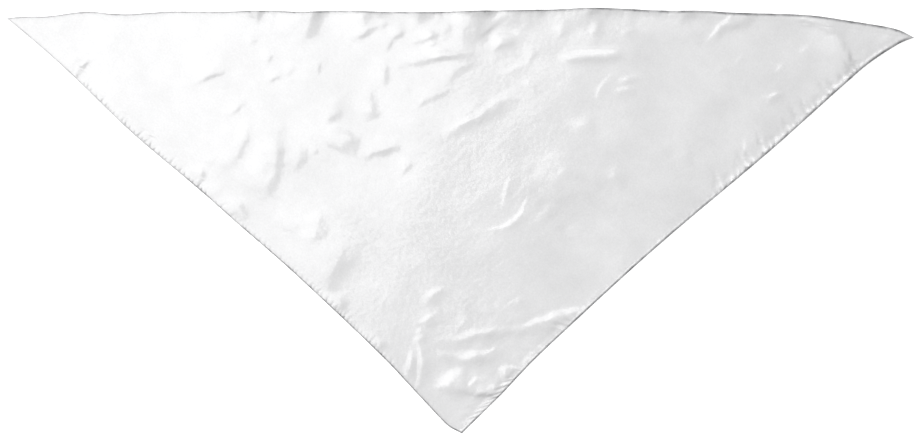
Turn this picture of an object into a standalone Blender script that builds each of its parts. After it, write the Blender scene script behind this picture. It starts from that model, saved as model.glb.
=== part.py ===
"""Arm sling: a triangular bandage of white satin, laid flat with its long edge at the back.

The sling is one triangle of cloth, cut from half a square, with a narrow double-turned hem along
each side. Every hem is held by a row of lockstitches: a needle thread on the face and a bobbin
thread underneath. The field of the cloth lies on the table, and the edges ride up over the hems.

Frame: metres, +Z up, +X along the long edge towards the right tip, +Y from the point towards the
long edge. The origin is at the bottom centre of the cloth's box.
"""

import math

import bmesh
import bpy
from mathutils import Vector

# The triangle as it lies. It is cut 0.96 x 0.96 x 1.36 m, and the tips are drawn apart along the bias.
LEFT_SIDE = 0.973
RIGHT_SIDE = 0.950
TIP_TO_TIP = 1.434
LONG_EDGE_TILT = math.radians(-1.2)

# How far each edge strays outwards from the straight line between its corners: (share of the way, metres).
# The long edge is stretched along the bias, so it runs in shallow scallops.
LONG_EDGE_SHAPE = [
    (0.0, 0.0), (0.02, 0.0035), (0.045, 0.0045), (0.088, 0.013), (0.125, 0.010), (0.18, 0.016), (0.23, 0.017),
    (0.285, 0.0205), (0.325, 0.0195), (0.36, 0.0225), (0.455, 0.023), (0.525, 0.0275), (0.61, 0.0325),
    (0.65, 0.036), (0.73, 0.0335), (0.76, 0.035), (0.80, 0.033), (0.875, 0.032), (0.925, 0.0245),
    (0.975, 0.0145), (0.9875, 0.009), (1.0, 0.0),
]
RIGHT_SIDE_SHAPE = [
    (0.0, 0.0), (0.025, -0.008), (0.08, -0.016), (0.13, -0.017), (0.30, -0.015), (0.50, -0.0185),
    (0.60, -0.0185), (0.77, -0.0145), (0.855, -0.0105), (0.89, -0.0065), (1.0, 0.0),
]
LEFT_SIDE_SHAPE = [
    (0.0, 0.0), (0.015, 0.0045), (0.03, 0.006), (0.06, 0.004), (0.10, 0.001), (0.17, -0.0045), (0.28, -0.0075),
    (0.40, -0.0085), (0.50, -0.006), (0.58, -0.005), (0.70, 0.0), (0.76, 0.0), (0.85, -0.003),
    (0.92, -0.003), (1.0, 0.0),
]

# How many stretches each edge is divided into, and how much closer they stand at the corners.
LONG_EDGE_STATIONS = 40
SIDE_STATIONS = 26
CROWDING = 0.45

# Cloth and thread.
CLOTH = 0.00025
LAYER_GAP = 0.00015
HEM_WIDTH = 0.006
STITCH_INSET = 0.0048
FURROW_DEPTH = 0.0001
FURROW_HALF_WIDTH = 0.0004
RAW_EDGE_INSET = 0.0013
MITRE_CLEARANCE = 0.0003
OUTER_FOLD_STEPS = 5
INNER_FOLD_STEPS = 3
THREAD_RADIUS = 0.00011
THREAD_GAP = 0.00005
THREAD_END_GAP = 0.0012

# The loose end of thread at the right tip: it leaves the seam, crosses the tip and drops to the table.
TAIL_RISE = 0.0006
TAIL_CLEAR_OF_TIP = 0.0005
TAIL_DROP = 0.003
TAIL_LENGTH = 0.006

# Heights of the middle of each layer: under layer, turned-in layer, face layer over the hem, field.
UNDER_Z = 0.0003
TURNED_Z = UNDER_Z + CLOTH + LAYER_GAP
FACE_Z = TURNED_Z + CLOTH + LAYER_GAP
FIELD_Z = CLOTH / 2
SHOULDER_INSET = 0.0075
FIELD_INSET = 0.016
SHOULDER_STEPS = 4

SATIN = ("satin", (0.86, 0.86, 0.88, 1.0), 0.38)
THREAD = ("thread", (0.80, 0.80, 0.82, 1.0), 0.55)


def clear_scene():
    for obj in list(bpy.data.objects):
        bpy.data.objects.remove(obj)


def material(name, colour, roughness):
    made = bpy.data.materials.get(name) or bpy.data.materials.new(name)
    made.use_nodes = True
    shader = made.node_tree.nodes["Principled BSDF"]
    shader.inputs["Base Color"].default_value = colour
    shader.inputs["Roughness"].default_value = roughness
    shader.inputs["Metallic"].default_value = 0.0
    return made


def smooth_value(knots, share):
    """The offset at a share of the way, on a cubic through the knots."""
    last = len(knots) - 2
    i = min(max(sum(share >= knot[0] for knot in knots) - 1, 0), last)
    (x0, y0), (x1, y1) = knots[i], knots[i + 1]

    def slope(j):
        (xa, ya), (xb, yb) = knots[max(j - 1, 0)], knots[min(j + 1, len(knots) - 1)]
        return (yb - ya) / (xb - xa)

    width = x1 - x0
    t = (share - x0) / width
    return (
        y0 * (1 + 2 * t) * (1 - t) ** 2
        + slope(i) * width * t * (1 - t) ** 2
        + y1 * t * t * (3 - 2 * t)
        + slope(i + 1) * width * t * t * (t - 1)
    )


def corners():
    """Left tip, right tip and point, with the left tip at zero."""
    right = Vector((math.cos(LONG_EDGE_TILT), math.sin(LONG_EDGE_TILT))) * TIP_TO_TIP
    cosine = (LEFT_SIDE**2 + TIP_TO_TIP**2 - RIGHT_SIDE**2) / (2 * LEFT_SIDE * TIP_TO_TIP)
    angle = LONG_EDGE_TILT - math.acos(cosine)
    point = Vector((math.cos(angle), math.sin(angle))) * LEFT_SIDE
    return [Vector((0.0, 0.0)), right, point]


class Edge:
    """One edge of the triangle, from corner a to corner b, with the cloth on its right-hand side."""

    def __init__(self, a, b, shape, stations):
        self.a, self.b, self.shape, self.stations = a, b, shape, stations
        self.along = (b - a).normalized()
        self.length = (b - a).length
        self.outwards = Vector((-self.along.y, self.along.x))

    def point(self, distance):
        share = distance / self.length
        return self.a + self.along * distance + self.outwards * smooth_value(self.shape, share)

    def tangent(self, distance):
        step = 0.0005
        low, high = max(distance - step, 0.0), min(distance + step, self.length)
        return (self.point(high) - self.point(low)).normalized()

    def inwards(self, distance):
        tangent = self.tangent(distance)
        return Vector((tangent.y, -tangent.x))


def crowded(share):
    """The share of the way moved towards the nearer end, so that stations stand closer at the corners."""
    return share - CROWDING * math.sin(2 * math.pi * share) / (2 * math.pi)


def half_angle(before, after):
    """Half the cloth's angle at the corner where edge before meets edge after."""
    back, ahead = -before.tangent(before.length), after.tangent(0.0)
    return back.angle(ahead) / 2


def corner_inset(before, after, inset):
    """The corner of the outline drawn in by inset."""
    back, ahead = -before.tangent(before.length), after.tangent(0.0)
    bisector = (back + ahead).normalized()
    return after.a + bisector * inset / math.sin(half_angle(before, after))


def inset_line(edges, index, inset, clearance=0.0):
    """Points along one edge drawn in by inset, mitred at both corners, less a clearance to each mitre."""
    edge, before, after = edges[index], edges[index - 1], edges[(index + 1) % 3]
    start_half, end_half = half_angle(before, edge), half_angle(edge, after)
    start, end = inset / math.tan(start_half), edge.length - inset / math.tan(end_half)
    start_miss = corner_inset(before, edge, inset) - edge.point(start) - edge.inwards(start) * inset
    end_miss = corner_inset(edge, after, inset) - edge.point(end) - edge.inwards(end) * inset
    points = []
    for station in range(edge.stations + 1):
        share = crowded(station / edge.stations)
        distance = start + (end - start) * share
        miss = start_miss * (1 - share) + end_miss * share
        points.append(edge.point(distance) + edge.inwards(distance) * inset + miss)
    points[0] += (points[1] - points[0]).normalized() * clearance / math.sin(start_half)
    points[-1] += (points[-2] - points[-1]).normalized() * clearance / math.sin(end_half)
    return points


def ring(edges, inset):
    """The whole outline drawn in by inset, each corner once."""
    points = []
    for index in range(3):
        points += inset_line(edges, index, inset)[:-1]
    return points


def arc(centre_inset, centre_z, radius, start, end, steps):
    """Points (inset, z) on a fold; angles in degrees, 0 towards the middle of the cloth and 90 up."""
    turns = [math.radians(start + (end - start) * i / steps) for i in range(steps + 1)]
    return [(centre_inset + radius * math.cos(t), centre_z + radius * math.sin(t)) for t in turns]


def hem_section():
    """The double turn as (inset, z): round the outer fold, along underneath, and back in between."""
    outer = (FACE_Z - UNDER_Z) / 2
    inner = (TURNED_Z - UNDER_Z) / 2
    outer_fold = arc(CLOTH / 2 + outer, UNDER_Z + outer, outer, 90, 270, OUTER_FOLD_STEPS)
    furrow = [
        (STITCH_INSET - FURROW_HALF_WIDTH, UNDER_Z),
        (STITCH_INSET, UNDER_Z + FURROW_DEPTH),
        (STITCH_INSET + FURROW_HALF_WIDTH, UNDER_Z),
    ]
    inner_fold = arc(HEM_WIDTH - CLOTH / 2 - inner, UNDER_Z + inner, inner, -90, 90, INNER_FOLD_STEPS)
    return outer_fold + furrow + inner_fold + [(RAW_EDGE_INSET, TURNED_Z)]


def face_section():
    """The face layer as (inset, z): over the hem, into the stitch furrow and down to the field."""
    outer_fold_end = CLOTH / 2 + (FACE_Z - UNDER_Z) / 2
    section = [
        (outer_fold_end + LAYER_GAP, FACE_Z),
        (STITCH_INSET - FURROW_HALF_WIDTH, FACE_Z),
        (STITCH_INSET, FACE_Z - FURROW_DEPTH),
        (STITCH_INSET + FURROW_HALF_WIDTH, FACE_Z),
    ]
    for i in range(SHOULDER_STEPS + 1):
        t = i / SHOULDER_STEPS
        drop = t * t * (3 - 2 * t)
        inset = SHOULDER_INSET + (FIELD_INSET - SHOULDER_INSET) * t
        section.append((inset, FACE_Z + (FIELD_Z - FACE_Z) * drop))
    return section


def add_object(name, data, finish, collection):
    obj = bpy.data.objects.new(name, data)
    obj.data.materials.append(material(*finish))
    collection.objects.link(obj)
    return obj


def cloth_sheet(name, rows, closed, collection):
    """A sheet of cloth through rows of points; closed rows are rings, and the last one is filled."""
    mesh = bpy.data.meshes.new(name)
    bm = bmesh.new()
    lines = [[bm.verts.new(p) for p in row] for row in rows]
    for outer, inner in zip(lines, lines[1:]):
        count = len(outer)
        for i in range(count if closed else count - 1):
            j = (i + 1) % count
            bm.faces.new((outer[i], inner[i], inner[j], outer[j]))
    if closed:
        bm.faces.new(reversed(lines[-1]))
    bmesh.ops.recalc_face_normals(bm, faces=bm.faces)
    bm.to_mesh(mesh)
    bm.free()
    mesh.shade_smooth()
    obj = add_object(name, mesh, SATIN, collection)
    thickness = obj.modifiers.new("cloth_thickness", "SOLIDIFY")
    thickness.thickness = CLOTH
    thickness.offset = 0.0
    thickness.use_even_offset = True
    return obj


def lifted(points, z):
    return [Vector((p.x, p.y, z)) for p in points]


def sling_panel(edges, collection):
    rows = [lifted(ring(edges, inset), z) for inset, z in face_section()]
    return cloth_sheet("sling_panel", rows, True, collection)


def hem(name, edges, index, collection):
    rows = [lifted(inset_line(edges, index, inset, MITRE_CLEARANCE), z) for inset, z in hem_section()]
    return cloth_sheet(name, rows, False, collection)


def thread(name, points, collection):
    curve = bpy.data.curves.new(name, "CURVE")
    curve.dimensions = "3D"
    curve.bevel_depth = THREAD_RADIUS
    curve.bevel_resolution = 2
    curve.use_fill_caps = True
    spline = curve.splines.new("POLY")
    spline.points.add(len(points) - 1)
    for target, p in zip(spline.points, points):
        target.co = (p.x, p.y, p.z, 1.0)
    return add_object(name, curve, THREAD, collection)


def tail_points(seam, tip):
    """The loose end, from the end of the seam out past the tip and down to the table."""
    seam_end = seam[-1].to_2d()
    along = (seam_end - seam[-2].to_2d()).normalized()
    out = (tip - seam_end).normalized()
    clear_z = FACE_Z + CLOTH / 2 + THREAD_GAP + THREAD_RADIUS
    floor_z = THREAD_RADIUS
    above = lifted([seam_end + along * TAIL_RISE, tip + out * TAIL_CLEAR_OF_TIP], clear_z)
    down = lifted([tip + out * (TAIL_CLEAR_OF_TIP + TAIL_DROP / 2)], (clear_z + floor_z) / 2)
    on_table = lifted([tip + out * (TAIL_CLEAR_OF_TIP + TAIL_DROP), tip + out * TAIL_LENGTH], floor_z)
    return above + down + on_table


def needle_thread(name, edges, index, tail, collection):
    """The thread on the face. The one with a tail runs out past the right tip and down to the table."""
    z = FACE_Z - FURROW_DEPTH + CLOTH / 2 + THREAD_GAP + THREAD_RADIUS
    points = lifted(inset_line(edges, index, STITCH_INSET, THREAD_END_GAP), z)
    if tail:
        points += tail_points(points, edges[index].b)
    return thread(name, points, collection)


def bobbin_thread(name, edges, index, collection):
    z = UNDER_Z + FURROW_DEPTH - CLOTH / 2 - THREAD_GAP - THREAD_RADIUS
    return thread(name, lifted(inset_line(edges, index, STITCH_INSET, THREAD_END_GAP), z), collection)


def centred(edges):
    """The edges moved so that the box of the outline and the loose end of thread is centred."""
    long_edge = edges[0]
    outline = ring(edges, 0.0) + [long_edge.b + long_edge.along * TAIL_LENGTH]
    low = Vector((min(p.x for p in outline), min(p.y for p in outline)))
    high = Vector((max(p.x for p in outline), max(p.y for p in outline)))
    middle = (low + high) / 2
    return [Edge(e.a - middle, e.b - middle, e.shape, e.stations) for e in edges]


def main():
    clear_scene()
    collection = bpy.data.collections.new("arm_sling")
    bpy.context.scene.collection.children.link(collection)
    left, right, point = corners()
    edges = centred([
        Edge(left, right, LONG_EDGE_SHAPE, LONG_EDGE_STATIONS),
        Edge(right, point, RIGHT_SIDE_SHAPE, SIDE_STATIONS),
        Edge(point, left, LEFT_SIDE_SHAPE, SIDE_STATIONS),
    ])
    sling_panel(edges, collection)
    for index, side in enumerate(("long_edge", "right_side", "left_side")):
        hem(f"{side}_hem", edges, index, collection)
        needle_thread(f"{side}_needle_thread", edges, index, side == "long_edge", collection)
        bobbin_thread(f"{side}_bobbin_thread", edges, index, collection)


main()
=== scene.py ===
"""Looks of the arm sling: a triangle of white satin laid flat under soft studio light.

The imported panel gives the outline. The cloth is one fine mesh that runs from the field, over each hem
and round its outer fold. The hems' hidden turns and the rows of stitches are pieces of their own, and
all of them follow the same height over the table, so the wrinkles run through every layer.

Positions in this file are metres. Wrinkles are placed from the middle of the cloth's box.
"""

import math

import bpy
import numpy as np
from mathutils import Matrix, Vector


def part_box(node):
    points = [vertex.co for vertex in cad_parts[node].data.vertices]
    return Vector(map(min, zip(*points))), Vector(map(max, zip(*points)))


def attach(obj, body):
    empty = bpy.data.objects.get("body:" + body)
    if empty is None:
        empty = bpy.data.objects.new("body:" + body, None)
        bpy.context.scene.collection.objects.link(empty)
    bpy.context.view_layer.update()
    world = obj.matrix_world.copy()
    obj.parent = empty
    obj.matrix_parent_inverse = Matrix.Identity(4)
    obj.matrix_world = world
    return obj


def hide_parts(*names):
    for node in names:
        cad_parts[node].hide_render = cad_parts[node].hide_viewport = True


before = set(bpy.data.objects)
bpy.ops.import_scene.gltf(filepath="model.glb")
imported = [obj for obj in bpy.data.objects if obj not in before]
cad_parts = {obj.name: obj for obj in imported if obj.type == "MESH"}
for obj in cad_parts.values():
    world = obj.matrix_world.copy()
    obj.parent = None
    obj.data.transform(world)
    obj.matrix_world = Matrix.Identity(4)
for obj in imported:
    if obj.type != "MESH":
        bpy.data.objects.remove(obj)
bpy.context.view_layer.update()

PANEL_LOW, PANEL_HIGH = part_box("sling_panel")
MIDDLE = np.array([(PANEL_LOW.x + PANEL_HIGH.x) / 2, (PANEL_LOW.y + PANEL_HIGH.y) / 2])

# The cloth's thickness, and the heights of the middle of each layer of the hem over the level that
# height_at() gives: under layer, turned-in layer and face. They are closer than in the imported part.
CLOTH = 0.00025
UNDER_Z = 0.0003
TURNED_Z = 0.00062
FACE_Z = 0.00094

# Insets from the outer fold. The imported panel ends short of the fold, at RIM_INSET, and gives the outline
# there. From the shoulder of the hem to the start of the field, the level that height_at() gives rises from
# under the hem to under the single cloth.
RIM_INSET = 0.000675
RAW_EDGE_INSET = 0.0013
STITCH_INSET = 0.0048
HEM_WIDTH = 0.006
SHOULDER = 0.0058
FIELD_START = 0.0165
FIELD_INSET = 0.0195
FOLD_GAP = 0.0001

# The insets at which every layer of the hem has points, so that all layers take the same bends.
OVER_HEM = (0.0011, 0.0019, 0.0029, 0.0039, 0.0044, 0.0048, 0.0052)
OVER_SHOULDER = (0.0060, 0.0075, 0.0093, 0.0113, 0.0135, 0.016)
OUTER_FOLD_STEPS = 6
INNER_FOLD_STEPS = 4

# The face of the hem: how far it puffs up, and the furrow that the stitches press into it.
HEM_PUFF = 0.00012
FURROW_DEPTH = 0.00005
FURROW_WIDTH = 0.0007

# Painted shade on the hems' outer fold, standing in for its dark line of shadow: its colour, how wide it is
# on the left and how much wider on the right, and the half width of the spikes of painted shade that run into
# the puckers.
PAINTED_FOLD_SHADE = (0.10, 0.10, 0.105)
PAINTED_SHADE_WIDTH = 0.0024
PAINTED_SHADE_WIDENING = 0.6
PAINTED_SPIKE_WIDTH = 0.0013

# Stitches: the thread's radius, how many radii its middle lies off the cloth, the stitches' length and
# fineness, how far they dive at a needle hole, how much thinner they are there, and how far short of the
# corners they end.
THREAD_RADIUS = 0.00012
THREAD_CLEAR = 0.8
STITCH_LENGTH = 0.0025
STEPS_PER_STITCH = 5
STITCH_DIVE = 0.0003
STITCH_THINNING = 0.35
SEAM_END_GAP = 0.0012

# The loose end of thread: how far it runs on from the last stitch, and then its places past the right tip,
# each with the share of the tip's height that is left there.
TAIL_START = 0.0020
TAIL = (
    (0.0004, 1.0), (0.0014, 0.85), (0.0024, 0.45),
    (0.0034, 0.12), (0.0045, 0.0), (0.0059, 0.0),
)

# Fineness of the meshes: rows and columns of the field, and steps along the long edge and the two sides.
FIELD_ROWS = 300
FIELD_COLUMNS = 640
EDGE_STEPS = (FIELD_COLUMNS, 2 * FIELD_ROWS, 2 * FIELD_ROWS)

# How the cloth lies: how high the hems lie over the table, how far in the edges hold the broad relief down,
# what share of that relief is left at the edge, and how softly the cloth meets the table.
HEM_LIFT = 0.0005
HELD_DOWN = 0.035
RELIEF_AT_EDGE = 0.3
TABLE_SOFTNESS = 0.0003


# ---------------------------------------------------------------------------------------------------
# The outline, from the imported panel
# ---------------------------------------------------------------------------------------------------

def rim_points():
    """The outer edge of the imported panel, clockwise as seen from above, as an array of (x, y)."""
    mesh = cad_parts["sling_panel"].data
    upright = 0.3
    found = set()
    for face in mesh.polygons:
        if abs(face.normal.z) < upright:
            for index in face.vertices:
                x, y, _ = mesh.vertices[index].co
                found.add((round(x, 4), round(y, 4)))
    points = np.array(sorted(found))
    around = np.arctan2(points[:, 1] - points[:, 1].mean(), points[:, 0] - points[:, 0].mean())
    return points[np.argsort(-around)]


def unit(vector):
    return vector / np.linalg.norm(vector)


class Edge:
    """One edge of the cloth, from corner a to corner b, with the cloth on its right-hand side."""

    def __init__(self, points):
        self.a = points[0]
        self.b = points[-1]
        self.length = np.linalg.norm(self.b - self.a)
        self.along = (self.b - self.a) / self.length
        self.out = np.array([-self.along[1], self.along[0]])
        offsets = points - self.a
        self.shares = offsets @ self.along / self.length
        self.bows = offsets @ self.out
        self.slopes = np.gradient(self.bows, self.shares)

    def bow(self, share):
        """How far the edge strays outwards at a share of the way, on a cubic through its points."""
        i = np.clip(np.searchsorted(self.shares, share) - 1, 0, len(self.shares) - 2)
        width = self.shares[i + 1] - self.shares[i]
        t = np.clip((share - self.shares[i]) / width, 0, 1)
        start = self.bows[i] * (1 + 2 * t) + self.slopes[i] * width * t
        end = self.bows[i + 1] * (3 - 2 * t) + self.slopes[i + 1] * width * (t - 1)
        return start * (1 - t) ** 2 + end * t ** 2

    def place(self, distance, inset):
        """The points at some distances along the edge, drawn in by inset."""
        outwards = self.bow(distance / self.length) - inset
        return self.a + np.outer(distance, self.along) + np.outer(outwards, self.out)

    def where(self, points):
        """Distance along the edge and inset from it, for an array of points."""
        offsets = points - self.a
        distance = offsets @ self.along
        inset = self.bow(np.clip(distance / self.length, 0, 1)) - offsets @ self.out
        return distance, inset

    def heading(self, at_end):
        """The direction in which the edge leaves its first corner, or comes to its last."""
        step = 0.004
        ends = [self.length - step, self.length] if at_end else [0, step]
        points = self.place(np.array(ends), 0)
        return unit(points[1] - points[0])


def make_edges():
    """The long edge, the right side and the left side."""
    ring = rim_points()
    ring = np.roll(ring, -int(np.argmin(ring[:, 0])), axis=0)
    right = int(np.argmax(ring[:, 0]))
    point = int(np.argmin(ring[:, 1]))
    closed = np.vstack([ring, ring[:1]])
    return [Edge(closed[: right + 1]), Edge(closed[right : point + 1]), Edge(closed[point:])]


EDGES = make_edges()
LONG, RIGHT, LEFT = 0, 1, 2


def corner(index, inset):
    """The corner where edge index starts, drawn in by inset, with half its angle."""
    back = -EDGES[index - 1].heading(True)
    ahead = EDGES[index].heading(False)
    half = math.acos(float(np.clip(back @ ahead, -1, 1))) / 2
    return EDGES[index].a + unit(back + ahead) * inset / math.sin(half), half


def inset_line(index, inset, shares, clearance=0.0):
    """Points at shares of one edge drawn in by inset, mitred at both corners less a clearance."""
    edge = EDGES[index]
    inset = inset - RIM_INSET
    start_corner, start_half = corner(index, inset)
    end_corner, end_half = corner((index + 1) % 3, inset)
    start = inset / math.tan(start_half)
    end = edge.length - inset / math.tan(end_half)
    start_miss = start_corner - edge.place(np.array([start]), inset)[0]
    end_miss = end_corner - edge.place(np.array([end]), inset)[0]
    first = clearance / math.sin(start_half) / (end - start)
    last = 1 - clearance / math.sin(end_half) / (end - start)
    shares = first + (last - first) * shares
    localised = 8
    miss = np.outer((1 - shares) ** localised, start_miss) + np.outer(shares ** localised, end_miss)
    return edge.place(start + (end - start) * shares, inset) + miss


# ---------------------------------------------------------------------------------------------------
# Height of the cloth over the table
# ---------------------------------------------------------------------------------------------------

# Creases as they are seen from above: start, end, how far the middle bows to the left, half width, height.
# A shade is the flank of a crease that is turned away from the window side, from which the light comes.
WINDOW_SIDE = (-0.78, 0.63)
TOWARDS = 1
AWAY = -1
SHADES = [
    # On the white left part.
    ((-0.366, 0.166), (-0.335, 0.187), 0.0005, 0.0054, 0.0012),
    ((-0.333, 0.156), (-0.366, 0.082), 0.0090, 0.0103, 0.0019),
    ((-0.280, 0.146), (-0.292, 0.062), 0.0010, 0.0116, 0.0024),
    ((-0.291, 0.074), (-0.314, 0.028), 0.0010, 0.0163, 0.0018),
    ((-0.247, 0.122), (-0.251, 0.080), 0.0010, 0.0126, 0.0015),
    ((-0.234, 0.103), (-0.224, 0.109), 0.0000, 0.0040, 0.0006),
    ((-0.397, 0.087), (-0.386, 0.098), 0.0000, 0.0040, 0.0007),
    ((-0.403, 0.084), (-0.412, 0.052), 0.0010, 0.0085, 0.0017),
    ((-0.376, 0.053), (-0.391, 0.034), 0.0010, 0.0077, 0.0013),
    ((-0.336, 0.030), (-0.350, -0.002), 0.0010, 0.0150, 0.0021),
    ((-0.254, -0.002), (-0.266, -0.022), 0.0005, 0.0103, 0.0010),
    ((-0.214, 0.006), (-0.232, -0.044), 0.0010, 0.0140, 0.0026),
    ((-0.214, 0.154), (-0.182, 0.169), 0.0005, 0.0071, 0.0012),
    ((-0.160, 0.161), (-0.130, 0.167), 0.0010, 0.0107, 0.0022),
    ((-0.162, 0.136), (-0.174, 0.104), 0.0010, 0.0163, 0.0029),
    ((-0.150, 0.097), (-0.094, 0.114), 0.0015, 0.0073, 0.0020),
    ((-0.115, 0.252), (-0.118, 0.211), 0.0005, 0.0065, 0.0015),
    ((-0.085, 0.216), (-0.079, 0.199), 0.0000, 0.0040, 0.0004),
    ((-0.094, 0.073), (-0.076, 0.089), 0.0000, 0.0040, 0.0008),
    ((-0.164, -0.044), (-0.206, -0.118), -0.0060, 0.0180, 0.0020),
    ((-0.184, -0.118), (-0.188, -0.144), 0.0005, 0.0081, 0.0013),
    ((-0.334, 0.280), (-0.318, 0.287), 0.0000, 0.0040, 0.0008),
    ((-0.295, 0.264), (-0.303, 0.247), 0.0000, 0.0040, 0.0010),
    ((-0.416, 0.216), (-0.374, 0.235), 0.0005, 0.0047, 0.0020),
    ((-0.304, 0.216), (-0.284, 0.227), 0.0005, 0.0044, 0.0009),
    ((-0.272, 0.228), (-0.261, 0.243), 0.0004, 0.0040, 0.0008),
    ((-0.430, 0.285), (-0.408, 0.291), 0.0003, 0.0040, 0.0004),
    ((-0.372, 0.208), (-0.364, 0.222), 0.0003, 0.0040, 0.0004),
    ((-0.224, 0.228), (-0.219, 0.252), 0.0010, 0.0044, 0.0009),
    ((-0.608, 0.220), (-0.582, 0.252), 0.0050, 0.0040, 0.0026),
    # Below the long edge.
    ((-0.130, 0.307), (-0.170, 0.284), 0.0005, 0.0051, 0.0016),
    ((-0.112, 0.313), (-0.126, 0.303), 0.0000, 0.0040, 0.0007),
    ((-0.087, 0.293), (-0.110, 0.285), 0.0005, 0.0047, 0.0014),
    ((-0.107, 0.286), (-0.116, 0.268), 0.0005, 0.0044, 0.0010),
    ((-0.035, 0.292), (-0.074, 0.279), 0.0005, 0.0058, 0.0018),
    ((-0.034, 0.278), (-0.052, 0.274), 0.0000, 0.0044, 0.0010),
    ((-0.062, 0.2493), (0.016, 0.2606), 0.0010, 0.0070, 0.0026),
    ((-0.100, 0.2410), (-0.056, 0.2495), 0.0005, 0.0060, 0.0012),
    ((-0.022, 0.208), (0.034, 0.248), 0.0100, 0.0069, 0.0009),
    ((-0.066, 0.179), (-0.026, 0.201), 0.0005, 0.0051, 0.0010),
    ((-0.018, 0.133), (0.050, 0.166), 0.0035, 0.0085, 0.0013),
    ((0.060, 0.312), (0.032, 0.288), 0.0000, 0.0047, 0.0013),
    ((0.050, 0.272), (0.084, 0.276), 0.0005, 0.0071, 0.0015),
    ((0.108, 0.252), (0.122, 0.262), 0.0000, 0.0040, 0.0009),
    ((0.158, 0.290), (0.176, 0.300), 0.0000, 0.0071, 0.0007),
    ((0.206, 0.293), (0.224, 0.294), 0.0003, 0.0062, 0.0010),
    # Where the long edge curls up.
    ((0.002, 0.3250), (0.060, 0.3260), 0.0000, 0.0088, 0.0036),
    ((0.078, 0.3290), (0.132, 0.3290), 0.0000, 0.0075, 0.0032),
    ((0.192, 0.3295), (0.256, 0.3295), 0.0000, 0.0088, 0.0036),
    ((0.266, 0.3290), (0.320, 0.3280), 0.0000, 0.0060, 0.0022),
    ((0.326, 0.3235), (0.412, 0.3210), 0.0000, 0.0110, 0.0042),
    # Above the point.
    ((-0.034, -0.268), (0.064, -0.277), 0.0010, 0.0081, 0.0013),
    ((0.012, -0.2745), (0.064, -0.2765), 0.0005, 0.0044, 0.0030),
    ((-0.014, -0.188), (0.108, -0.176), 0.0010, 0.0138, 0.0015),
    ((-0.010, -0.226), (0.056, -0.220), -0.0010, 0.0107, 0.0011),
    ((-0.056, -0.134), (-0.026, -0.122), 0.0005, 0.0085, 0.0004),
    ((-0.072, -0.168), (-0.026, -0.160), 0.0005, 0.0081, 0.0005),
    ((-0.120, -0.190), (-0.128, -0.206), 0.0000, 0.0103, 0.0013),
    # On the right part.
    ((0.406, 0.232), (0.424, 0.242), 0.0003, 0.0044, 0.0005),
]

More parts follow.
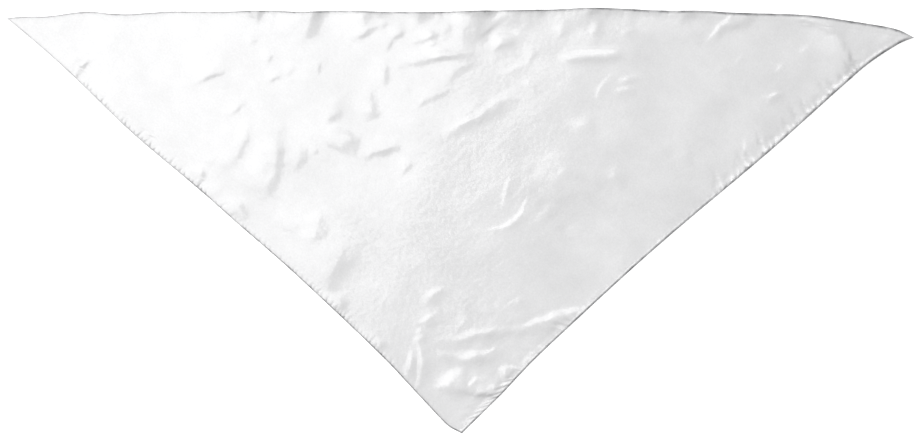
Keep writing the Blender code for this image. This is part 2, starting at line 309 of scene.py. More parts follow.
# A shine is the flank that is turned towards the light.
SHINES = [
    # Upper middle.
    ((0.212, 0.184), (0.236, 0.230), 0.0060, 0.0039, 0.0005),
    ((0.252, 0.222), (0.281, 0.229), 0.0008, 0.0038, 0.0008),
    ((0.247, 0.207), (0.276, 0.211), 0.0005, 0.0038, 0.0008),
    ((-0.022, 0.143), (0.062, 0.192), -0.0020, 0.0052, 0.0013),
    ((0.048, 0.190), (0.092, 0.196), 0.0005, 0.0055, 0.0009),
    ((0.048, 0.281), (0.094, 0.301), 0.0010, 0.0075, 0.0010),
    ((0.048, 0.316), (0.072, 0.329), 0.0000, 0.0039, 0.0008),
    ((-0.030, 0.259), (0.020, 0.265), 0.0010, 0.0055, 0.0008),
    ((0.102, 0.223), (0.122, 0.213), 0.0000, 0.0038, 0.0004),
    ((0.064, 0.234), (0.112, 0.256), -0.0010, 0.0038, 0.0004),
    ((0.150, 0.312), (0.168, 0.302), 0.0005, 0.0065, 0.0005),
    ((0.256, 0.300), (0.274, 0.303), 0.0000, 0.0045, 0.0004),
    # Above the point.
    ((-0.058, -0.123), (-0.026, -0.106), 0.0005, 0.0047, 0.0011),
    ((-0.062, -0.157), (-0.046, -0.149), 0.0003, 0.0047, 0.0012),
    ((-0.070, -0.176), (-0.060, -0.170), 0.0000, 0.0038, 0.0007),
    ((-0.058, -0.178), (-0.076, -0.192), 0.0000, 0.0042, 0.0006),
    ((-0.068, -0.198), (-0.070, -0.260), 0.0060, 0.0047, 0.0016),
    ((-0.079, -0.208), (-0.087, -0.248), 0.0010, 0.0047, 0.0014),
    ((-0.034, -0.262), (-0.002, -0.236), 0.0000, 0.0111, 0.0035),
    ((0.010, -0.259), (0.024, -0.253), 0.0000, 0.0044, 0.0010),
    ((0.018, -0.253), (0.048, -0.244), 0.0005, 0.0059, 0.0006),
    ((-0.030, -0.188), (0.112, -0.163), 0.0010, 0.0055, 0.0011),
    ((0.106, -0.165), (0.198, -0.1415), 0.0060, 0.0075, 0.0026),
    ((-0.006, -0.213), (0.064, -0.200), -0.0030, 0.0060, 0.0016),
    ((-0.038, -0.204), (-0.006, -0.212), -0.0010, 0.0044, 0.0007),
    ((0.098, -0.228), (0.066, -0.234), -0.0010, 0.0042, 0.0016),
    ((0.064, -0.232), (0.068, -0.262), 0.0010, 0.0039, 0.0014),
    ((0.046, -0.014), (0.104, 0.034), -0.0125, 0.0042, 0.0010),
    ((0.066, 0.018), (0.076, 0.064), 0.0010, 0.0038, 0.0006),
    ((0.076, -0.132), (0.104, -0.121), 0.0005, 0.0039, 0.0004),
    # On the right part.
    ((0.080, 0.040), (0.164, 0.110), 0.0000, 0.0400, 0.0024),
    ((0.172, 0.152), (0.206, 0.164), 0.0000, 0.0130, 0.0013),
    ((0.232, 0.074), (0.256, 0.084), 0.0000, 0.0110, 0.0011),
    ((0.336, 0.100), (0.360, 0.110), 0.0000, 0.0110, 0.0014),
    ((0.391, 0.286), (0.432, 0.327), 0.0015, 0.0049, 0.0017),
    ((0.477, 0.196), (0.508, 0.202), 0.0005, 0.0044, 0.0014),
    ((0.497, 0.233), (0.506, 0.250), 0.0000, 0.0044, 0.0006),
    ((0.434, 0.249), (0.450, 0.265), 0.0000, 0.0039, 0.0005),
    ((0.533, 0.2685), (0.554, 0.276), 0.0005, 0.0056, 0.0007),
    ((0.662, 0.281), (0.677, 0.293), 0.0000, 0.0055, 0.0009),
    ((0.631, 0.257), (0.639, 0.270), 0.0000, 0.0044, 0.0008),
    ((0.447, 0.126), (0.447, 0.098), 0.0000, 0.0039, 0.0008),
]

# A straight bar, which is a shine too.
BAR = ((0.160, 0.2635), (0.254, 0.2672), 0.0, 0.0084, 0.0034)

# The long soft fold across the right tip, as shades.
TIP_FOLD = [
    ((0.530, 0.3150), (0.600, 0.2880), 0.0050, 0.0070, 0.0050),
    ((0.588, 0.3000), (0.620, 0.2300), 0.0070, 0.0075, 0.0034),
]

# Ripples of the stretched long edge, as shades: the place on the edge, the inner end, half width, height.
RIPPLES = [
    ((-0.600, 0.318), (-0.612, 0.300), 0.0144, 0.0008),
    ((-0.312, 0.330), (-0.322, 0.312), 0.0074, 0.0037),
    ((-0.293, 0.330), (-0.297, 0.307), 0.0054, 0.0014),
    ((-0.222, 0.332), (-0.240, 0.287), 0.0156, 0.0048),
    ((-0.136, 0.331), (-0.162, 0.306), 0.0144, 0.0029),
    ((-0.118, 0.331), (-0.130, 0.318), 0.0120, 0.0020),
    ((-0.052, 0.330), (-0.066, 0.302), 0.0180, 0.0036),
    ((-0.030, 0.330), (-0.036, 0.312), 0.0108, 0.0020),
    ((0.026, 0.332), (0.036, 0.290), 0.0180, 0.0046),
    ((0.044, 0.333), (0.046, 0.306), 0.0108, 0.0022),
    ((0.112, 0.335), (0.106, 0.306), 0.0168, 0.0036),
    ((0.136, 0.336), (0.124, 0.318), 0.0120, 0.0022),
    ((0.206, 0.338), (0.200, 0.308), 0.0192, 0.0024),
    ((0.226, 0.338), (0.222, 0.320), 0.0120, 0.0010),
    ((0.280, 0.335), (0.276, 0.316), 0.0108, 0.0015),
    ((0.372, 0.332), (0.370, 0.300), 0.0228, 0.0022),
    ((0.455, 0.328), (0.462, 0.308), 0.0144, 0.0024),
]

# How much wider the hidden flank of a crease is than the flank that is seen.
SHADE_FLANK = 3.0
SHINE_FLANK = 2.2
BAR_FLANK = 1.1
TIP_FLANK = 5.0

# Where a crest runs, in half widths from the line, and how a crease tapers: the share of the way from its
# middle to its end at which it is down to about a third, and how abruptly it gets there.
CREST_SHIFT = 0.7
TAPER_REACH = 0.92
SOFT_ENDS = 2.6
BLUNT_ENDS = 5.0

# Puckers pulled in by the stitches of the long edge, the right side and the left side. "grey" is how far
# the fold's painted shade runs into a groove, as a share of its reach, and "paling" is how much of that
# painted shade is lost towards the left tip. A stretch is (share of the edge where it ends, strength, lean).
PUCKERS = [
    {
        "spacing": 0.0150, "depth": 0.00035, "reach": 0.006, "half_width": 0.0026,
        "grey": 0.15, "paling": 0.10, "seed": 3,
        "stretches": [(1.0, 1.0, 0.3)],
    },
    {
        "spacing": 0.0100, "depth": 0.0030, "reach": 0.0078, "half_width": 0.0026,
        "grey": 0.12, "paling": 0.10, "seed": 5,
        "stretches": [
            (0.10, 0.6, -0.3), (0.42, 1.3, -0.4), (0.74, 0.3, 0.0),
            (0.87, 1.0, 0.6), (0.98, 1.0, 1.8), (1.0, 0.3, 0.0),
        ],
    },
    {
        "spacing": 0.0085, "depth": 0.0009, "reach": 0.0060, "half_width": 0.0017,
        "grey": 0.75, "paling": 0.40, "seed": 9,
        "stretches": [(0.15, 0.3, 0.0), (0.56, 0.6, 0.0), (0.84, 1.2, 0.2), (1.0, 0.1, 0.0)],
    },
]

# The hem of the right side stands up as a soft ridge: its height, place and half width.
RIDGE_HEIGHT = 0.0021
RIDGE_INSET = 0.0024
RIDGE_WIDTH = 0.0034

# Layers of random relief: height, size across, stretch along an axis, degrees that the axis is turned, seed.
SWELL = [(0.0011, 0.150, 1.0, 0, 11), (0.0006, 0.070, 1.0, 0, 12)]
RUFFLE = [(0.0008, 0.060, 1.5, 0, 13), (0.0009, 0.032, 1.6, 0, 14)]
CRUMPLE = [
    (0.00010, 0.022, 1.6, 28, 21),
    (0.00006, 0.010, 1.4, 28, 22),
    (0.00008, 0.0042, 1.0, 0, 24),
    (0.00006, 0.028, 1.8, -35, 23),
]

# How far creases wander from their lines, over what size, and the seeds for x and y. Then how unevenly high
# they are, over what size, and the seed.
WANDERING = ((0.0018, 0.016, 41, 43), (0.0008, 0.006, 42, 44))
UNEVEN = (0.28, 0.018, 45)


def smooth_step(t):
    t = np.clip(t, 0, 1)
    return t * t * (3 - 2 * t)


def hills(x, y, size, seed):
    """Smooth random hills and hollows about size across, from -1 to 1, out of a table that repeats."""
    count = 64
    shift = 3
    table = np.random.RandomState(seed).uniform(-1, 1, (count, count))
    u, v = (x + shift) / size, (y + shift) / size
    i, j = np.floor(u).astype(int), np.floor(v).astype(int)
    s, t = smooth_step(u - i), smooth_step(v - j)
    i0, i1, j0, j1 = i % count, (i + 1) % count, j % count, (j + 1) % count
    low = table[i0, j0] * (1 - s) + table[i1, j0] * s
    high = table[i0, j1] * (1 - s) + table[i1, j1] * s
    return low * (1 - t) + high * t


def turned(x, y, degrees):
    """The same points seen along an axis turned by some degrees."""
    turn = math.radians(degrees)
    along = x * math.cos(turn) + y * math.sin(turn)
    across = -x * math.sin(turn) + y * math.cos(turn)
    return along, across


def layered(x, y, layers):
    """The height of several layers of random relief together."""
    height = np.zeros_like(x)
    for rise, size, stretch, degrees, seed in layers:
        along, across = turned(x, y, degrees)
        height += rise * hills(along / stretch, across, size, seed)
    return height


def broad_height(x, y):
    """The slow swell, the ruffles of the right part, and the crumpling, strongest across the middle."""
    ruffled = smooth_step((x - 0.02) / 0.20)
    diagonal = x + 0.25 * y
    crumpled = 0.25 + 0.75 * smooth_step((diagonal + 0.45) / 0.25)
    crumpled *= 1 - 0.45 * smooth_step((diagonal - 0.02) / 0.25)
    return layered(x, y, SWELL) + layered(x, y, RUFFLE) * ruffled + layered(x, y, CRUMPLE) * crumpled


def crease(x, y, start, end, bow, width, height, facing, hidden_flank, bluntness=SOFT_ENDS):
    """One crease. The line from start to end runs along the middle of its seen flank."""
    start, end = np.array(start), np.array(end)
    length = np.linalg.norm(end - start)
    along = (end - start) / length
    left = np.array([-along[1], along[0]])
    share = ((x - start[0]) * along[0] + (y - start[1]) * along[1]) / length
    across = (x - start[0]) * left[0] + (y - start[1]) * left[1] - bow * 4 * share * (1 - share)
    from_line = across * (1 if left @ np.array(WINDOW_SIDE) > 0 else -1)
    from_crest = facing * from_line + CREST_SHIFT * width
    flank = np.where(from_crest > 0, width, width * hidden_flank)
    taper = np.exp(-np.abs((2 * share - 1) / TAPER_REACH) ** bluntness)
    return height * np.exp(-(from_crest / flank) ** 2) * taper


def wandering(x, y):
    """The same points pushed about a little, so that creases run unevenly."""
    pushed_x, pushed_y = x, y
    for push, size, seed_x, seed_y in WANDERING:
        pushed_x = pushed_x + push * hills(x, y, size, seed_x)
        pushed_y = pushed_y + push * hills(x, y, size, seed_y)
    return pushed_x, pushed_y


def wandering_creases():
    """Every shade, shine and ripple, as what crease() takes after the points."""
    listed = [(*shade, AWAY, SHADE_FLANK) for shade in SHADES]
    listed += [(*shine, TOWARDS, SHINE_FLANK) for shine in SHINES]
    for edge_place, inner, width, rise in RIPPLES:
        outer = 2 * np.array(edge_place) - np.array(inner)
        listed.append((outer, inner, 0, width, rise, AWAY, SHADE_FLANK))
    return listed


CREASES = wandering_creases()


def gathers(length, puckers):
    """Where the stitches of an edge gather the cloth: (place, strength, slant, reach) of each groove."""
    random = np.random.RandomState(puckers["seed"])
    place = 0.0
    found = []
    while place < length:
        place += puckers["spacing"] * random.uniform(0.6, 1.5)
        strength = random.uniform(0.25, 1.0)
        slant = random.uniform(-0.4, 0.4)
        far = puckers["reach"] * random.uniform(0.5, 1.9)
        for end, factor, lean in puckers["stretches"]:
            if place <= end * length:
                found.append((place, strength * factor, slant + lean, far * factor))
                break
    return found


GROOVES = [gathers(edge.length, puckers) for edge, puckers in zip(EDGES, PUCKERS)]


def pucker_height(distance, inset, grooves, puckers):
    """Grooves across an edge: deepest at the stitches, wider further in, and fading towards the fold."""
    span = 0.04
    widening = 0.0012
    fade_outwards = 0.0040
    height = np.zeros_like(distance)
    for place, strength, slant, far in grooves:
        near = np.abs(distance - place) < span
        i = inset[near] - STITCH_INSET
        d = distance[near] - place - slant * i
        width = puckers["half_width"] + widening * np.clip(i / far, 0, 1)
        inside = np.exp(-(np.clip(i, 0, None) / far) ** 2)
        outside = np.exp(-(np.clip(-i, 0, None) / fade_outwards) ** 2)
        across = np.exp(-(d / width) ** 2)
        height[near] -= puckers["depth"] * strength * across * np.where(i > 0, inside, outside)
    return height


def ridge_height(distance, inset, length):
    """The standing hem of the right side, which is highest along its first third and uneven all along."""
    share = distance / length
    stands = smooth_step(share / 0.08) - 0.6 * smooth_step((share - 0.36) / 0.1)
    stands *= 0.55 + 0.45 * hills(distance, inset / 3, 0.013, 46)
    return RIDGE_HEIGHT * stands * np.exp(-((inset - RIDGE_INSET) / RIDGE_WIDTH) ** 2)


def height_at(points):
    """Height over the table of the level just under the cloth or the hem, for an array of (x, y)."""
    x, y = (points - MIDDLE).T
    in_field = np.ones(len(points))
    free = np.ones(len(points))
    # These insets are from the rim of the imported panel, which is RIM_INSET in from the outer fold.
    wheres = [edge.where(points) for edge in EDGES]
    for _, inset in wheres:
        in_field *= smooth_step((inset - SHOULDER) / (FIELD_START - SHOULDER))
        free *= smooth_step(inset / HELD_DOWN)
    relief_share = RELIEF_AT_EDGE + (1 - RELIEF_AT_EDGE) * free
    height = HEM_LIFT + (FACE_Z - CLOTH / 2) * in_field + broad_height(x, y) * relief_share

    wavy_x, wavy_y = wandering(x, y)
    folds = np.zeros(len(points))
    for one in CREASES:
        folds += crease(wavy_x, wavy_y, *one)
    unevenness, size, seed = UNEVEN
    height += folds * (1 + unevenness * hills(x, y, size, seed))
    height += crease(x, y, *BAR, TOWARDS, BAR_FLANK, BLUNT_ENDS)
    for fold in TIP_FOLD:
        height += crease(wavy_x, wavy_y, *fold, AWAY, TIP_FLANK)

    for where, grooves, puckers in zip(wheres, GROOVES, PUCKERS):
        height += pucker_height(*where, grooves, puckers)
    distance, inset = wheres[RIGHT]
    height += ridge_height(distance, inset + RIM_INSET, EDGES[RIGHT].length)
    return TABLE_SOFTNESS * np.logaddexp(0, height / TABLE_SOFTNESS)


def painted_shade_share(points, index):
    """How much of the fold's painted shade a point beside edge index takes: it reaches further into each
    groove.
    """
    distance, inset = EDGES[index].where(points)
    inset = inset + RIM_INSET
    x = points[:, 0] - MIDDLE[0]
    reach = PAINTED_SHADE_WIDTH * (1 + PAINTED_SHADE_WIDENING * smooth_step(x / 0.5))
    for place, strength, slant, far in GROOVES[index]:
        d = distance - place - slant * (inset - STITCH_INSET)
        reach += PUCKERS[index]["grey"] * far * strength * np.exp(-(d / PAINTED_SPIKE_WIDTH) ** 2)
    fade = 1 - PUCKERS[index]["paling"] * smooth_step((-0.30 - x) / 0.30)
    return np.exp(-((inset / reach) ** 4)) * fade


# ---------------------------------------------------------------------------------------------------
# Sections across the edge
# ---------------------------------------------------------------------------------------------------

def arc(centre_inset, centre_z, radius, start, end, steps):
    """Points (inset, z) on a fold; angles in degrees, 0 towards the middle of the cloth and 90 up."""
    turns = np.radians(np.linspace(start, end, steps + 1))
    return [(centre_inset + radius * math.cos(t), centre_z + radius * math.sin(t)) for t in turns]


def face_rise(inset):
    """Height of the face layer's middle over the level that height_at() gives, at some inset."""
    puffed = FACE_Z + HEM_PUFF * math.sin(math.pi * min(inset / STITCH_INSET, 1))
    furrow = FURROW_DEPTH * math.exp(-(((inset - STITCH_INSET) / FURROW_WIDTH) ** 2))
    drop = float(smooth_step((inset - SHOULDER) / (FIELD_START - SHOULDER)))
    return (puffed - furrow) * (1 - drop) + CLOTH / 2 * drop


def face_section():
    """The panel's edge as (inset, z): from underneath, round the outer fold and over the hem."""
    radius = (FACE_Z - UNDER_Z) / 2
    fold = arc(CLOTH / 2 + radius, UNDER_Z + radius, radius, 270, 90, OUTER_FOLD_STEPS)
    return fold + [(inset, face_rise(inset)) for inset in OVER_HEM + OVER_SHOULDER]


def hem_section():
    """The hidden turns as (inset, z): in from the outer fold, round the inner fold and back."""
    first = CLOTH / 2 + (FACE_Z - UNDER_Z) / 2 + FOLD_GAP
    under = [(inset, UNDER_Z) for inset in (first,) + OVER_HEM]
    radius = (TURNED_Z - UNDER_Z) / 2
    fold = arc(HEM_WIDTH - CLOTH / 2 - radius, UNDER_Z + radius, radius, -90, 90, INNER_FOLD_STEPS)
    back = [(inset, TURNED_Z) for inset in reversed(OVER_HEM) if inset > RAW_EDGE_INSET]
    return under + fold + back + [(RAW_EDGE_INSET, TURNED_Z)]


# ---------------------------------------------------------------------------------------------------
# Meshes
# ---------------------------------------------------------------------------------------------------

def zipped(outer, outer_shares, inner, inner_shares):
    """Triangles between two chains of vertices, walked by their shares of the way."""
    faces = []
    i = j = 0
    while i < len(outer) - 1 or j < len(inner) - 1:
        step_outer = j == len(inner) - 1 or (
            i < len(outer) - 1 and outer_shares[i + 1] <= inner_shares[j + 1]
        )
        if step_outer:
            faces.append((outer[i], inner[j], outer[i + 1]))
            i += 1
        else:
            faces.append((outer[i], inner[j], inner[j + 1]))
            j += 1
    return faces


def grain_uv(points):
    """Places on the cloth in metres, along its two sets of threads: beside the left side and square to it."""
    along = -EDGES[LEFT].along
    across = np.array([-along[1], along[0]])
    offsets = points - EDGES[LEFT].b
    return np.column_stack([offsets @ along, offsets @ across])


def make_mesh(name, points, faces, thickness, materials, painted_shade=None):
    """A smooth mesh with its grain as UV and its share of the fold's painted shade. Thickness is for sheets.
    """
    mesh = bpy.data.meshes.new(name)
    mesh.from_pydata(points.tolist(), [], faces)
    mesh.shade_smooth()
    # Each point's share of the painted shade on the hems' outer fold, which the satin's colour reads.
    painted_shade_layer = mesh.attributes.new("painted_shade", "FLOAT", "POINT")
    painted_shade_layer.data.foreach_set("value", np.zeros(len(points)) if painted_shade is None else painted_shade)
    layer = mesh.uv_layers.new(name="grain")
    corners = np.zeros(len(mesh.loops), int)
    mesh.loops.foreach_get("vertex_index", corners)
    layer.data.foreach_set("uv", grain_uv(points[:, :2])[corners].ravel())
    for made in materials:
        mesh.materials.append(made)
    piece = bpy.data.objects.new(name, mesh)
    bpy.context.scene.collection.objects.link(piece)
    if thickness:
        solid = piece.modifiers.new("thickness", "SOLIDIFY")
        solid.thickness = thickness
        solid.offset = 0
        solid.material_offset = 1 if len(materials) > 1 else 0
        solid.material_offset_rim = 0
    return piece


def edge_rings(section):
    """Closed rings round the cloth, one for each point of the section: their points, rises and share of
    painted shade.
    """
    flat, rises, painted_shade = [], [], []
    for inset, rise in section:
        for index, count in enumerate(EDGE_STEPS):
            flat.append(inset_line(index, inset, np.arange(count) / count))
            painted_shade += painted_shade_share(flat[-1], index).tolist()
        rises += [rise] * sum(EDGE_STEPS)
    return flat, rises, painted_shade


def field_lines():
    """Rows of the field from the long edge to the point, as (points, shares of the way)."""
    shares = np.linspace(0, 1, FIELD_COLUMNS + 1)
    steps = np.linspace(0, 1, FIELD_ROWS + 1)
    long_line = inset_line(LONG, FIELD_INSET, shares)
    right_line = inset_line(RIGHT, FIELD_INSET, steps)
    left_line = inset_line(LEFT, FIELD_INSET, steps)[::-1]
    straight = np.outer(1 - shares, long_line[0]) + np.outer(shares, long_line[-1])
    sway = long_line - straight
    lines = []
    for row in range(FIELD_ROWS + 1):
        down = row / FIELD_ROWS
        cells = max(int(round(FIELD_COLUMNS * (1 - down))), 1) if row < FIELD_ROWS else 0
        u = np.linspace(0, 1, cells + 1)
        line = np.outer(1 - u, left_line[row]) + np.outer(u, right_line[row])
        bend = np.column_stack([np.interp(u, shares, sway[:, 0]), np.interp(u, shares, sway[:, 1])])
        lines.append((line + bend * (1 - down), u))
    return lines


def ring_faces(ring_count):
    """Four-sided faces between neighbouring rings."""
    size = sum(EDGE_STEPS)
    faces = []
    for start in range(0, (ring_count - 1) * size, size):
        for i in range(size):
            j = (i + 1) % size
            faces.append((start + i, start + size + i, start + size + j, start + j))
    return faces


def border_faces(first, rows):
    """Triangles between the innermost ring, whose first vertex is given, and the field's three borders."""
    size = sum(EDGE_STEPS)
    ring = list(range(first, first + size)) + [first]
    steps = np.linspace(0, 1, FIELD_ROWS + 1)
    borders = [rows[0], ([row[0][-1] for row in rows], steps), ([row[0][0] for row in reversed(rows)], steps)]
    faces = []
    place = 0
    for count, (border, shares) in zip(EDGE_STEPS, borders):
        faces += zipped(ring[place : place + count + 1], np.linspace(0, 1, count + 1), border, shares)
        place += count
    return faces


def panel_mesh(materials):
    """The panel: rings round the edge, then rows of the field from the long edge to the point."""
    section = face_section()
    flat, rises, painted_shade = edge_rings(section)
    rows = []
    used = len(section) * sum(EDGE_STEPS)
    for line, shares in field_lines():
        flat.append(line)
        rises += [CLOTH / 2] * len(line)
        painted_shade += [0.0] * len(line)
        rows.append((list(range(used, used + len(line))), shares))
        used += len(line)
    faces = ring_faces(len(section))
    for upper, lower in zip(rows, rows[1:]):
        faces += zipped(*upper, *lower)
    faces += border_faces((len(section) - 1) * sum(EDGE_STEPS), rows)

    flat = np.vstack(flat)
    points = np.column_stack([flat, height_at(flat) + np.array(rises)])
    return make_mesh("satin_panel", points, faces, CLOTH, materials, painted_shade)


def hem_mesh(name, index, materials):
    """The hidden turns of one hem, on the same points along the edge as the panel, short of the corners."""
    count = EDGE_STEPS[index]
    shares = np.arange(1, count) / count
    columns = len(shares)
    section = hem_section()
    flat = np.vstack([inset_line(index, inset, shares) for inset, _ in section])
    rises = np.repeat([rise for _, rise in section], columns)
    faces = []
    for row in range(len(section) - 1):
        start = row * columns
        for i in range(start, start + columns - 1):
            faces.append((i, i + columns, i + columns + 1, i + 1))
    points = np.column_stack([flat, height_at(flat) + rises])
    return make_mesh(name, points, faces, CLOTH, materials)


def tube(name, path, radii, made):
    """A closed tube along a path, with a radius for each of its points."""
    sides = 6
    headings = np.gradient(path, axis=0)
    headings /= np.linalg.norm(headings, axis=1)[:, None]
    side = np.cross(headings, [0, 0, 1])
    side /= np.linalg.norm(side, axis=1)[:, None]
    up = np.cross(side, headings)
    rings = []
    for k in range(sides):
        turn = 2 * math.pi * k / sides
        rings.append(path + radii[:, None] * (side * math.cos(turn) + up * math.sin(turn)))
    points = np.stack(rings, axis=1).reshape(-1, 3)
    faces = []
    for i in range(len(path) - 1):
        for k in range(sides):
            a, b = i * sides + k, i * sides + (k + 1) % sides
            faces.append((a, b, b + sides, a + sides))
    last = (len(path) - 1) * sides
    faces.append(tuple(range(sides))[::-1])
    faces.append(tuple(range(last, last + sides)))
    return make_mesh(name, points, faces, 0, [made])


def tail_path(last, before):
    """The loose end of thread, over the right tip and down to the table."""
    tip = EDGES[LONG].b
    out = unit(tip - last)
    over_tip = height_at(np.array([tip]))[0] + FACE_Z + CLOTH / 2 + 2 * THREAD_RADIUS
    places = [last + unit(last - before) * TAIL_START]
    heights = [over_tip]
    for past, lift in TAIL:
        places.append(tip + out * past)
        heights.append(THREAD_RADIUS + (over_tip - THREAD_RADIUS) * lift)
    return np.column_stack([np.array(places), heights])


def seam_path(index, rise, below):
    """A row of stitches along one edge: it dives at each needle hole and lies on the cloth between."""
    edge = EDGES[index]
    sharpness = 6
    steps = int(edge.length / STITCH_LENGTH) * STEPS_PER_STITCH
    line = inset_line(index, STITCH_INSET, np.linspace(0, 1, steps + 1), SEAM_END_GAP)
    phase = (np.arange(steps + 1) % STEPS_PER_STITCH) / STEPS_PER_STITCH
    dive = np.abs(np.cos(math.pi * phase)) ** sharpness
    z = height_at(line) + rise + (STITCH_DIVE if below else -STITCH_DIVE) * dive
    path = np.column_stack([line, z])
    radii = THREAD_RADIUS * (1 - STITCH_THINNING * dive)
    if index == LONG and not below:
        tail = tail_path(line[-1], line[-2])
        path = np.vstack([path, tail])
        radii = np.append(radii, np.full(len(tail), THREAD_RADIUS))
    return path, radii


# ---------------------------------------------------------------------------------------------------
# Materials
# ---------------------------------------------------------------------------------------------------

SATIN_WHITE = (0.60, 0.60, 0.605)
THREAD_WHITE = (0.52, 0.52, 0.53)
FLOOR_WHITE = (0.93, 0.93, 0.93)
FLOOR_GLOW = 0.30

# The satin's tone: cells of noise for each metre and the factors between which the tone varies, for its
# clouds and its speckle. Then the same for the share of the fold's painted shade that shows.
CLOUD_SCALE = 9.0
CLOUD_TONES = (0.87, 1.01)
SPECKLE_SCALE = 330.0
SPECKLE_TONES = (0.965, 1.035)
PAINTED_SHADE_SCALE = 45.0
PAINTED_SHADE_SHARES = (0.5, 1.0)

# The satin's relief: length and width of a float, the gap between floats and its depth, then the crinkle's
# cells for each metre and its depth. The twist of the sewing thread has a depth and a texture scale.
FLOAT_LENGTH = 0.0016
FLOAT_WIDTH = 0.00032
FLOAT_GAP = 0.00005
FLOAT_DEPTH = 0.00004
CRINKLE_SCALE = 140.0
CRINKLE_DEPTH = 0.0004
TWIST_DEPTH = 0.00004
TWIST_SCALE = 1200.0


def set_inputs(tree, node, inputs):
    """Sets a node's inputs. Each is a value, or the output of another node to link."""
    for name, value in inputs.items():
        if isinstance(value, bpy.types.NodeSocket):
            tree.links.new(value, node.inputs[name])
        else:
            node.inputs[name].default_value = value


def add_node(tree, kind, settings, inputs):
    node = tree.nodes.new(kind)
    for name, value in settings.items():
        setattr(node, name, value)
    set_inputs(tree, node, inputs)
    return node


def new_material(name):
    """A new material, its node tree and its shader."""
    made = bpy.data.materials.new(name)
    made.use_nodes = True
    return made, made.node_tree, made.node_tree.nodes["Principled BSDF"]


def grain_place(tree):
    return add_node(tree, "ShaderNodeUVMap", {"uv_map": "grain"}, {}).outputs["UV"]


def noise(tree, place, scale, detail, roughness=0.5):
    """Cloudy noise, around 0.5."""
    inputs = {"Vector": place, "Scale": scale, "Detail": detail, "Roughness": roughness}
    return add_node(tree, "ShaderNodeTexNoise", {}, inputs).outputs["Fac"]


def spread(tree, value, low, high, to_low, to_high):
    """A value that usually lies from low to high, spread from to_low to to_high."""
    inputs = {"Value": value, "From Min": low, "From Max": high, "To Min": to_low, "To Max": to_high}
    return add_node(tree, "ShaderNodeMapRange", {}, inputs).outputs["Result"]


def product(tree, first, second):
    return add_node(tree, "ShaderNodeMath", {"operation": "MULTIPLY"}, {0: first, 1: second}).outputs["Value"]


def mixed(tree, blend, factor, first, second):
    settings = {"data_type": "RGBA", "blend_type": blend}
    inputs = {"Factor": factor, "A": first, "B": second}
    return add_node(tree, "ShaderNodeMix", settings, inputs).outputs["Result"]


def satin_colour(tree, place, colour):
    """A cloudy, lightly speckled tone, with painted shade mixed in along the hems' outer fold."""
    clouds = noise(tree, place, CLOUD_SCALE, 7.0, 0.75)
    specks = noise(tree, place, SPECKLE_SCALE, 2.0)
    tone = spread(tree, clouds, 0.3, 0.7, *CLOUD_TONES)
    speckle = spread(tree, specks, 0.3, 0.7, *SPECKLE_TONES)
    mottled = mixed(tree, "MULTIPLY", 1.0, (*colour, 1.0), product(tree, tone, speckle))
    # Painted shade: the dark fold colour, mixed in by each point's share along the hems' outer fold and its
    # puckers.
    painted_shade = add_node(tree, "ShaderNodeAttribute", {"attribute_name": "painted_shade"}, {}).outputs["Fac"]
    uneven = spread(tree, noise(tree, place, PAINTED_SHADE_SCALE, 3.0), 0.35, 0.65, *PAINTED_SHADE_SHARES)
    return mixed(tree, "MIX", product(tree, painted_shade, uneven), mottled, (*PAINTED_FOLD_SHADE, 1.0))


def satin_relief(tree, place):
    """The floats of the satin weave, under a fine crinkle."""
    brick = {
        "Vector": place, "Scale": 1.0, "Brick Width": FLOAT_LENGTH, "Row Height": FLOAT_WIDTH,
        "Mortar Size": FLOAT_GAP, "Mortar Smooth": 1.0,
    }
    floats = add_node(tree, "ShaderNodeTexBrick", {"offset": 0.4}, brick).outputs["Fac"]
    pressed = {"Height": floats, "Strength": 0.25, "Distance": FLOAT_DEPTH}
    weave = add_node(tree, "ShaderNodeBump", {"invert": True}, pressed).outputs["Normal"]
    crinkle = noise(tree, place, CRINKLE_SCALE, 5.0)
    bumps = {"Height": crinkle, "Strength": 0.5, "Distance": CRINKLE_DEPTH, "Normal": weave}
    return add_node(tree, "ShaderNodeBump", {}, bumps).outputs["Normal"]


def satin(name, colour, roughness, sheen):
    """White satin weave."""
    made, tree, shader = new_material(name)
    place = grain_place(tree)
    set_inputs(tree, shader, {
        "Base Color": satin_colour(tree, place, colour),
        "Normal": satin_relief(tree, place),
        "Roughness": roughness,
        "IOR": 1.6,
        "Specular IOR Level": 0.5,
        "Sheen Weight": sheen,
        "Sheen Roughness": 0.4,
    })
    return made


def thread_material():
    """White spun thread with a diagonal twist."""
    made, tree, shader = new_material("white_thread")
    wave = {"Vector": grain_place(tree), "Scale": TWIST_SCALE}
    twist = add_node(tree, "ShaderNodeTexWave", {"bands_direction": "DIAGONAL"}, wave).outputs["Fac"]
    bump = add_node(tree, "ShaderNodeBump", {}, {"Height": twist, "Strength": 0.4, "Distance": TWIST_DEPTH})
    set_inputs(tree, shader, {
        "Base Color": (*THREAD_WHITE, 1.0),
        "Roughness": 0.7,
        "Normal": bump.outputs["Normal"],
    })
    return made


# ---------------------------------------------------------------------------------------------------
# Stage
# ---------------------------------------------------------------------------------------------------

FLOOR_HALF = 6.0
FLOOR_Z = -0.0002

# Lights: name, place, what it is aimed at, width, length, degrees that it is spun, power.
SOFTBOXES = [
    ("overhead", (-0.75, 0.52, 2.6), (-0.75, 0.52, 0.0), 1.7, 1.8, -31, 24.5),
    ("window", (-3.40, 2.75, 2.15), (-0.10, 0.05, 0.0), 1.8, 1.8, 0, 138),
    ("back_strip", (0.42, 1.80, 2.2), (0.42, 1.80, 0.0), 1.2, 1.0, 0, 9),
]

# The room: its strength where it is darkest and where it is brightest, and in which direction that is.
ROOM_DARK = 0.305
ROOM_BRIGHT = 1.07
ROOM_BRIGHT_SIDE = (-0.62, 0.50, 0.60)


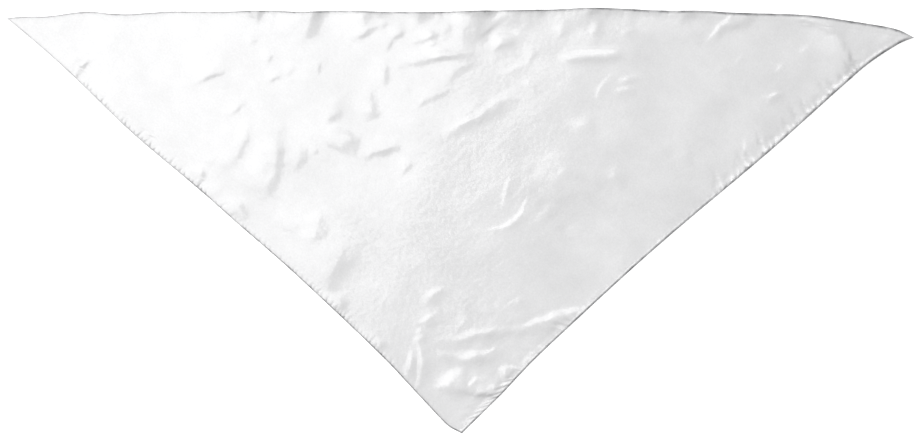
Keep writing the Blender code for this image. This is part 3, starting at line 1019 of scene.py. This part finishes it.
def add_camera():
    """Straight above the cloth, framed on its middle. The frame is as wide as it says at the table."""
    lens = 85.0
    sensor = 36.0
    frame_width = 1.4536
    aside = 0.0008
    data = bpy.data.cameras.new("camera")
    data.lens = lens
    data.sensor_width = sensor
    data.clip_end = 50
    camera = bpy.data.objects.new("camera", data)
    camera.location = (MIDDLE[0] - aside, MIDDLE[1] + aside, lens / sensor * frame_width)
    bpy.context.scene.collection.objects.link(camera)
    bpy.context.scene.camera = camera


def add_softbox(name, location, target, width, length, spin, power):
    """A rectangular light that faces its target, turned by some degrees, and isn't seen itself."""
    data = bpy.data.lights.new(name, "AREA")
    data.shape = "RECTANGLE"
    data.size = width
    data.size_y = length
    data.energy = power
    lamp = bpy.data.objects.new(name, data)
    lamp.location = location
    away = np.array(target) - np.array(location)
    aim = Vector(away).to_track_quat("-Z", "Y")
    lamp.rotation_mode = "QUATERNION"
    lamp.rotation_quaternion = Matrix.Rotation(math.radians(spin), 3, "Z").to_quaternion() @ aim
    lamp.visible_camera = False
    bpy.context.scene.collection.objects.link(lamp)


def add_world():
    """A soft room that is brightest towards one side and darkest opposite it."""
    world = bpy.data.worlds.new("studio")
    world.use_nodes = True
    tree = world.node_tree
    where = add_node(tree, "ShaderNodeTexCoord", {}, {}).outputs["Generated"]
    sides = {0: where, 1: Vector(ROOM_BRIGHT_SIDE).normalized()}
    facing = add_node(tree, "ShaderNodeVectorMath", {"operation": "DOT_PRODUCT"}, sides).outputs["Value"]
    strength = spread(tree, facing, -0.7, 1.0, ROOM_DARK, ROOM_BRIGHT)
    set_inputs(tree, tree.nodes["Background"], {"Strength": strength, "Color": (1, 1, 1, 1)})
    bpy.context.scene.world = world


def add_floor():
    """A plain white floor just under the cloth, lit a little from within so that it stays pale."""
    corners = [(-1, -1), (1, -1), (1, 1), (-1, 1)]
    mesh = bpy.data.meshes.new("floor")
    mesh.from_pydata([(x * FLOOR_HALF, y * FLOOR_HALF, FLOOR_Z) for x, y in corners], [], [(0, 1, 2, 3)])
    made, tree, shader = new_material("floor_white")
    set_inputs(tree, shader, {
        "Base Color": (*FLOOR_WHITE, 1),
        "Roughness": 0.9,
        "Specular IOR Level": 0.1,
        "Emission Color": (1, 1, 1, 1),
        "Emission Strength": FLOOR_GLOW,
    })
    mesh.materials.append(made)
    floor = bpy.data.objects.new("floor", mesh)
    bpy.context.scene.collection.objects.link(floor)


# ---------------------------------------------------------------------------------------------------
# Assembly
# ---------------------------------------------------------------------------------------------------

def dress(piece, node):
    """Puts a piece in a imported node's place."""
    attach(piece, "root")
    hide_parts(node)
    return piece


def build():
    """The panel, then for each edge its hem turns, needle stitches and bobbin stitches."""
    face = satin("satin_face", SATIN_WHITE, roughness=0.16, sheen=0.05)
    back = satin("satin_back", SATIN_WHITE, roughness=0.50, sheen=0.10)
    thread = thread_material()
    panel = dress(panel_mesh([face, back]), "sling_panel")
    needle_rise = face_rise(STITCH_INSET) + CLOTH / 2 + THREAD_RADIUS * THREAD_CLEAR
    bobbin_rise = UNDER_Z - CLOTH / 2 - THREAD_RADIUS * THREAD_CLEAR
    for index, side in enumerate(("long_edge", "right_side", "left_side")):
        hem = hem_mesh(f"{side}_hem_turns", index, [back, face])
        dress(hem, f"{side}_hem")
        path, radii = seam_path(index, needle_rise, False)
        needle = tube(f"{side}_needle_stitches", path, radii, thread)
        dress(needle, f"{side}_needle_thread")
        path, radii = seam_path(index, bobbin_rise, True)
        bobbin = tube(f"{side}_bobbin_stitches", path, radii, thread)
        dress(bobbin, f"{side}_bobbin_thread")


add_camera()
build()
add_floor()
for softbox in SOFTBOXES:
    add_softbox(*softbox)
add_world()
bpy.context.scene.view_settings.view_transform = "Standard"
